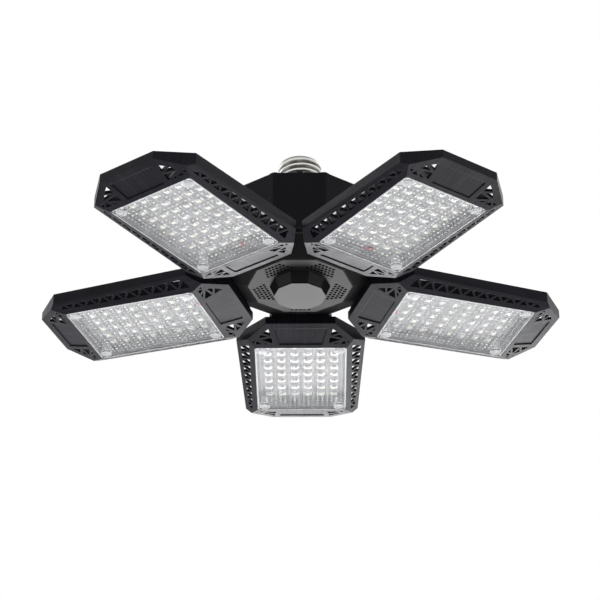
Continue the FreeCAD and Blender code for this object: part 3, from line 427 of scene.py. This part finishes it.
def mesh_of(name, work, matrix=None):
    if matrix is not None:
        bmesh.ops.transform(work, matrix=matrix, verts=work.verts)
    bmesh.ops.recalc_face_normals(work, faces=work.faces)
    mesh = bpy.data.meshes.new(name)
    work.to_mesh(mesh)
    work.free()
    return mesh


def smooth(mesh, degrees):
    """Smooth shading up to this angle between faces."""
    mesh.shade_smooth()
    work = bmesh.new()
    work.from_mesh(mesh)
    for edge in work.edges:
        edge.smooth = edge.is_manifold and edge.calc_face_angle(0.0) < math.radians(degrees)
    work.to_mesh(mesh)
    work.free()


def bridge(work, low, high, index=0):
    """Quads between two rings of as many vertices."""
    for k in range(len(low)):
        after = (k + 1) % len(low)
        work.faces.new((low[k], low[after], high[after], high[k])).material_index = index


def frustum(work, x, y, foot, low, top, high, index=0):
    """A closed four-sided block; foot and top are its half sizes at the heights low and high."""
    base = [work.verts.new((x + sx * foot[0], y + sy * foot[1], low)) for sx, sy in CORNERS]
    crown = [work.verts.new((x + sx * top[0], y + sy * top[1], high)) for sx, sy in CORNERS]
    work.faces.new(base[::-1]).material_index = index
    work.faces.new(crown).material_index = index
    bridge(work, base, crown, index)


def ring(work, radius_at, height, sides, x=0.0, y=0.0):
    """Vertices round an upright axis; radius_at gives their radius for an angle."""
    turns = [2 * math.pi * k / sides for k in range(sides)]
    return [work.verts.new((x + radius_at(a) * math.cos(a), y + radius_at(a) * math.sin(a), height))
            for a in turns]


def grid(count, pitch):
    return [(k - (count - 1) / 2) * pitch for k in range(count)]


def near_chip(dx, dy):
    """Whether a dome here gets the painted image of an LED, which the domes would spread to the ones round
    it.
    """
    return any(math.hypot(dx - x, (dy - y) * 0.85) < CHIP_SPREAD
               for x in grid(LED_ROWS, LED_PITCH_ROW) for y in grid(LED_COLUMNS, LED_PITCH_COLUMN))


def studs(n):
    """The grid of small domes on the inner side of a lens, clear of its four posts."""
    work = bmesh.new()
    rows = int((LENS_LENGTH - 2 * STUD_MARGIN) // STUD_PITCH)
    columns = int((2 * LENS_HALF - 2 * STUD_MARGIN) // STUD_PITCH)
    for dx in grid(rows, STUD_PITCH):
        for dy in grid(columns, STUD_PITCH):
            if math.hypot(abs(dx) - POST_X, abs(dy) - POST_Y) < POST_R + STUD_R:
                continue
            x = LENS_MIDDLE + dx
            foot = ring(work, lambda a: STUD_R, LENS_FACE - STUD_SUNK, STUD_SIDES, x, dy)
            crown = ring(work, lambda a: STUD_TIP_R, LENS_FACE + STUD_HEIGHT, STUD_SIDES, x, dy)
            work.faces.new(foot[::-1]).material_index = 0
            # painted light: tips near an LED show its painted image, the others a painted glint
            work.faces.new(crown).material_index = 2 if near_chip(dx, dy) else 1
            bridge(work, foot, crown)
    mesh = mesh_of("lens_studs_%d" % n, work, panel_matrix(n))
    return piece("lens_studs_%d" % n, mesh, [stud_flank, stud_painted_glint, stud_painted_led_image], "panel_%d" % n)


def chips(n):
    """The LEDs: a white body with drawn-in sides, a yellowish window, two solder pads and a white patch round
    each, a painted image of the LED as the lens spreads it.
    """
    finishes = [chip_white, chip_window, solder, painted_led_halo]
    work = bmesh.new()

    def block(x, y, half, low, high, draw_in, finish):
        top = (half[0] - draw_in, half[1] - draw_in)
        frustum(work, x, y, half, low, top, high, finishes.index(finish))

    board, top = LENS_DEPTH, LENS_DEPTH - LED_HEIGHT
    for dx in grid(LED_ROWS, LED_PITCH_ROW):
        for dy in grid(LED_COLUMNS, LED_PITCH_COLUMN):
            x = LENS_MIDDLE + dx
            block(x, dy, (LED_LENGTH / 2, LED_WIDTH / 2), board - CLEAR_OF_BOARD, top + 0.02, CHIP_DRAW_IN,
                  chip_white)
            block(x, dy, CHIP_WINDOW, top + 0.02, top, BEVEL, chip_window)
            # painted light: a white patch round the LED stands for its image spread by the lens
            block(x, dy, PAINTED_LED_HALO, board - CLEAR_OF_BOARD, board - 0.05, BEVEL, painted_led_halo)
            for side in (-1, 1):
                pad_y = dy + side * (LED_WIDTH / 2 + 0.25)
                block(x, pad_y, SOLDER_PAD, board - 0.04, board - 0.14, BEVEL, solder)
    mesh = mesh_of("led_chips_%d" % n, work, panel_matrix(n))
    return piece("led_chips_%d" % n, mesh, finishes, "panel_%d" % n, ["leds_%d" % n])


def lathe(work, profile, sides):
    """A closed solid of revolution round Z from (radius, height) points that start and end on the axis."""
    rings = []
    for radius, height in profile:
        if radius == 0:
            rings.append([work.verts.new((0, 0, height))])
        else:
            rings.append(ring(work, lambda a: radius, height, sides))
    for low, high in zip(rings, rings[1:]):
        for k in range(sides):
            a, b = low[k % len(low)], low[(k + 1) % len(low)]
            c, d = high[(k + 1) % len(high)], high[k % len(high)]
            corners = [v for i, v in enumerate((a, b, c, d)) if v not in (a, b, c, d)[:i]]
            if len(corners) > 2:
                work.faces.new(corners)


def screw_mesh(name, head_r, head, shank_r, shank):
    """A pan-head screw with a crowned head and a cross recess, its seat at height 0."""
    work = bmesh.new()
    crown = [(head_r * math.cos(a), head * (0.55 + 0.45 * math.sin(a)))
             for a in (math.radians(d) for d in (0, 20, 40, 60, 78))]
    tip = [(0, -shank), (shank_r * 0.6, -shank), (shank_r, -shank + shank_r * 0.7), (shank_r, 0)]
    lathe(work, tip + [(head_r, 0)] + crown + [(0, head)], 28)
    body = bpy.data.objects.new(name, mesh_of(name, work))
    bpy.context.scene.collection.objects.link(body)
    work = bmesh.new()
    wide, narrow, floor_height = head_r * 0.62, head_r * 0.13, head * 0.25
    # The second arm of the cross is a little larger, so that no two faces of the cutter lie in one plane.
    arms = (((wide, narrow), (0.45, 0.7)), ((narrow * 1.02, wide * 1.02), (0.45, 0.45)))
    for half, share in arms:
        frustum(work, 0, 0, (half[0] * share[0], half[1] * share[1]), floor_height, half, head * 1.4)
    cutter = bpy.data.objects.new(name + "_cutter", mesh_of(name + "_cutter", work))
    bpy.context.scene.collection.objects.link(cutter)
    cut = body.modifiers.new("recess", "BOOLEAN")
    cut.object, cut.operation, cut.solver, cut.use_self = cutter, "DIFFERENCE", "EXACT", True
    bpy.context.view_layer.update()
    made = bpy.data.meshes.new_from_object(body.evaluated_get(bpy.context.evaluated_depsgraph_get()))
    for thing in (body, cutter):
        bpy.data.objects.remove(thing)
    return made


def group(name, mesh, places, matrix, body, stands_for):
    """Copies of one mesh at these places, as one piece."""
    work = bmesh.new()
    for place in places:
        start = len(work.verts)
        work.from_mesh(mesh)
        work.verts.ensure_lookup_table()
        bmesh.ops.transform(work, matrix=place, verts=work.verts[start:])
    made = mesh_of(name, work, matrix)
    smooth(made, 32)
    return piece(name, made, [steel], body, [stands_for])


def thread_radius(height, angle):
    """Radius of the shell: the plain neck below height 0, and the rolled right-hand thread above it."""
    if height < 0:
        return SHELL_NECK_R
    wave = 0.5 - 0.5 * math.cos(2 * math.pi * (height / THREAD_PITCH) - angle)
    fade = min(1.0, height / THREAD_START, (SHELL_LENGTH - height) / THREAD_END)
    return SHELL_R - THREAD_DEPTH * (wave * fade + (1 - fade) * THREAD_MEAN)


def thread_shell():
    """The screw shell: the neck, the thread, the cone over it and the flat round the insulator."""
    work = bmesh.new()
    steps = int(SHELL_LENGTH / THREAD_STEP)
    heights = [-SHELL_FOOT, -NECK_TOP] + [k * THREAD_STEP for k in range(steps + 1)]
    rings = [ring(work, lambda a: thread_radius(h, a), h, THREAD_SIDES) for h in heights]
    crest = SHELL_R - THREAD_DEPTH * THREAD_MEAN
    for share in (0.35, 0.7, 1.0):
        bow = crest + (INSULATOR_R + SHELL_WALL - crest) * (1 - math.cos(share * math.pi / 2))
        height = SHELL_LENGTH + SHELL_CONE * math.sin(share * math.pi / 2)
        rings.append(ring(work, lambda a: bow, height, THREAD_SIDES))
    rings.append(ring(work, lambda a: INSULATOR_HOLE_R, SHELL_LENGTH + SHELL_CONE, THREAD_SIDES))
    for low, high in zip(rings, rings[1:]):
        bridge(work, low, high)
    mesh = mesh_of("thread_shell", work, Matrix.Scale(MM, 4))
    smooth(mesh, 60)
    shell = piece("thread_shell", mesh, [nickel], "hub", ["screw_shell"])
    wall = shell.modifiers.new("wall", "SOLIDIFY")
    wall.thickness, wall.offset = SHELL_WALL * MM, -1.0
    return shell


thread_shell()
panel_screw = screw_mesh("panel_screw", *PANEL_SCREW)
cover_screw = screw_mesh("cover_screw", *COVER_SCREW)
for n in range(1, PANELS + 1):
    studs(n)
    chips(n)
    places = [Matrix.Translation((LENS_MIDDLE + sx * POST_X, sy * POST_Y, SINK_TOP)) for sx, sy in CORNERS]
    places += [Matrix.Translation((ARM_SCREW_R, side * ARM_SCREW_HALF, PANEL_BACK + ARM_BASE))
               for side in (-1, 1)]
    places = [p @ Matrix.Rotation(0.7 * k, 4, "Z") for k, p in enumerate(places)]
    group("panel_screw_group_%d" % n, panel_screw, places, panel_matrix(n), "panel_%d" % n,
          "panel_screws_%d" % n)
places = [Matrix.Rotation(a, 4, "Z") @ Matrix.Translation((HUB_SCREW_R, 0, HUB_SCREW_SEAT))
          @ Matrix.Rotation(math.pi, 4, "X") @ Matrix.Rotation(0.5 * k, 4, "Z")
          for k, a in enumerate(azimuths)]
group("cover_screw_group", cover_screw, places, Matrix.Translation((0, 0, LENS_PLANE)) @ Matrix.Scale(MM, 4),
      "hub", "cover_screws")


# ---- stage, light and camera -----------------------------------------------------------------------------
AMBIENT = 0.25                      # light on the object from all round
BACKDROP = 1.0                      # white, for what the camera, a gloss or clear plastic sees
FLOOR_GLOW = 0.5                    # of the floor, for the same
FLOOR_REACH, FLOOR_LEVEL = 14.0, -2.3


def background(t, ambient, seen_as):
    """seen_as for what the camera, a gloss or clear plastic sees, and ambient for the light on the object."""
    path = t.add("ShaderNodeLightPath")
    seen = t.math("MAXIMUM", path.outputs["Is Camera Ray"], path.outputs["Is Glossy Ray"])
    seen = t.math("MAXIMUM", seen, path.outputs["Is Transmission Ray"])
    return t.span(seen, 0.0, 1.0, ambient, seen_as)


class WorldNodes(Nodes):
    def __init__(self, world):
        world.use_nodes = True
        self.tree = world.node_tree
        self.tree.nodes.clear()
        self.output = self.add("ShaderNodeOutputWorld")


world = bpy.data.worlds.new("studio")
bpy.context.scene.world = world
t = WorldNodes(world)
sky = t.add("ShaderNodeBackground", {"Color": (1, 1, 1, 1), "Strength": background(t, AMBIENT, BACKDROP)})
t.tree.links.new(sky.outputs[0], t.output.inputs["Surface"])

floor_mesh = bpy.data.meshes.new("floor")
floor_mesh.from_pydata([(sx * FLOOR_REACH, sy * FLOOR_REACH, FLOOR_LEVEL) for sx, sy in CORNERS], [],
                       [(0, 1, 2, 3)])
floor = bpy.data.objects.new("floor", floor_mesh)
bpy.context.scene.collection.objects.link(floor)
t = Nodes("floor_pale")
tone = t.mix(t.span(t.noise(3.0, 3.0), 0.3, 0.7), (0.80, 0.80, 0.80, 1), (0.83, 0.83, 0.83, 1))
plain = t.add("ShaderNodeBsdfPrincipled", {"Base Color": tone, "Roughness": 0.8, "Specular IOR Level": 0.2})
glow = t.add("ShaderNodeEmission", {"Color": (1, 1, 1, 1), "Strength": background(t, 0.0, FLOOR_GLOW)})
both = t.add("ShaderNodeAddShader", {0: plain.outputs[0], 1: glow.outputs[0]})
floor_mesh.materials.append(t.finish(both.outputs[0]))


def area_light(name, place, target, width, height, radiance):
    """A soft box of this radiance, facing the target."""
    data = bpy.data.lights.new(name, "AREA")
    data.shape, data.size, data.size_y = "RECTANGLE", width, height
    data.energy = radiance * math.pi * width * height
    thing = bpy.data.objects.new(name, data)
    thing.location = place
    thing.rotation_mode = "QUATERNION"
    thing.rotation_quaternion = (Vector(target) - Vector(place)).to_track_quat("-Z", "Y")
    thing.visible_camera = False
    bpy.context.scene.collection.objects.link(thing)


middle = (0.0, 0.0, LENS_PLANE)
area_light("sweep", (0.12, 1.65, -0.80), middle, 1.1, 1.6, 6.0)
area_light("low", (0.62, 1.05, -1.75), middle, 0.7, 0.7, 5.5)
area_light("under", (-0.2, -0.4, -2.0), middle, 1.5, 1.5, 1.0)
area_light("top", (0.3, 1.2, 1.8), (0, 0, 0), 1.9, 1.9, 1.0)
area_light("side", (-1.7, 0.6, 0.5), (0, 0, 0), 0.8, 1.4, 1.2)

camera_data = bpy.data.cameras.new("camera")
camera_data.lens, camera_data.sensor_width = 128.15, 36.0
camera_data.clip_start, camera_data.clip_end = 0.05, 60.0
camera = bpy.data.objects.new("camera", camera_data)
camera.location = (0.00873, -1.05433, -0.71150)
camera.rotation_mode = "QUATERNION"
camera.rotation_quaternion = (Vector(middle) - camera.location).to_track_quat("-Z", "Y")
bpy.context.scene.collection.objects.link(camera)
bpy.context.scene.camera = camera
bpy.context.scene.view_settings.view_transform = "Standard"

bpy.context.view_layer.update()
